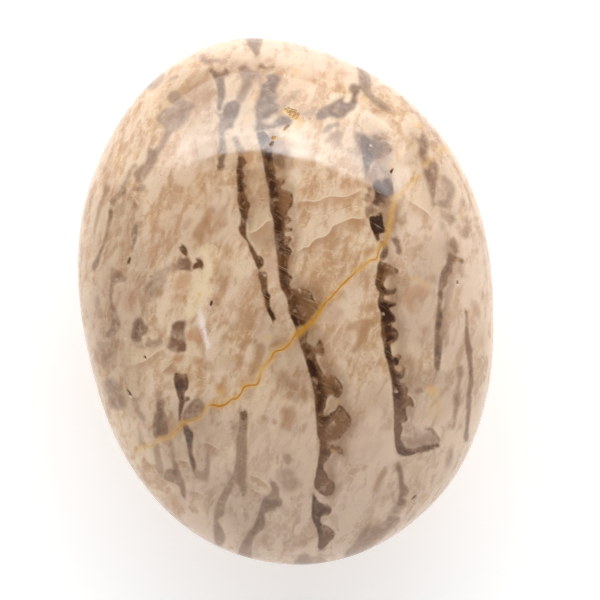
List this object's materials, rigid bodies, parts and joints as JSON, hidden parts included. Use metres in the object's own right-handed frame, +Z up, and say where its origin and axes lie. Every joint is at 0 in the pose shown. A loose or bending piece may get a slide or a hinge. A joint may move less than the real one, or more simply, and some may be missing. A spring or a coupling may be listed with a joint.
{
  "type": "polished feldspar pebble",
  "caption": "Oval polished feldspar pebble with smoky quartz bands and rust-stained cracks, a flattened hand stone that rests on a small flat spot of its belly.",
  "frame": {"origin": "under the middle of the stone's box, in the plane of the small flat spot that it rests on", "axes": "+Y along the stone's length, towards its egg-shaped head; +X across its width; +Z up, out of its face"},
  "size_m": [0.0508, 0.0652, 0.027],
  "materials": {
    "stone": "polished"
  },
  "bodies": {
    "root": {"pebble": "stone"}
  },
  "joints": []
}
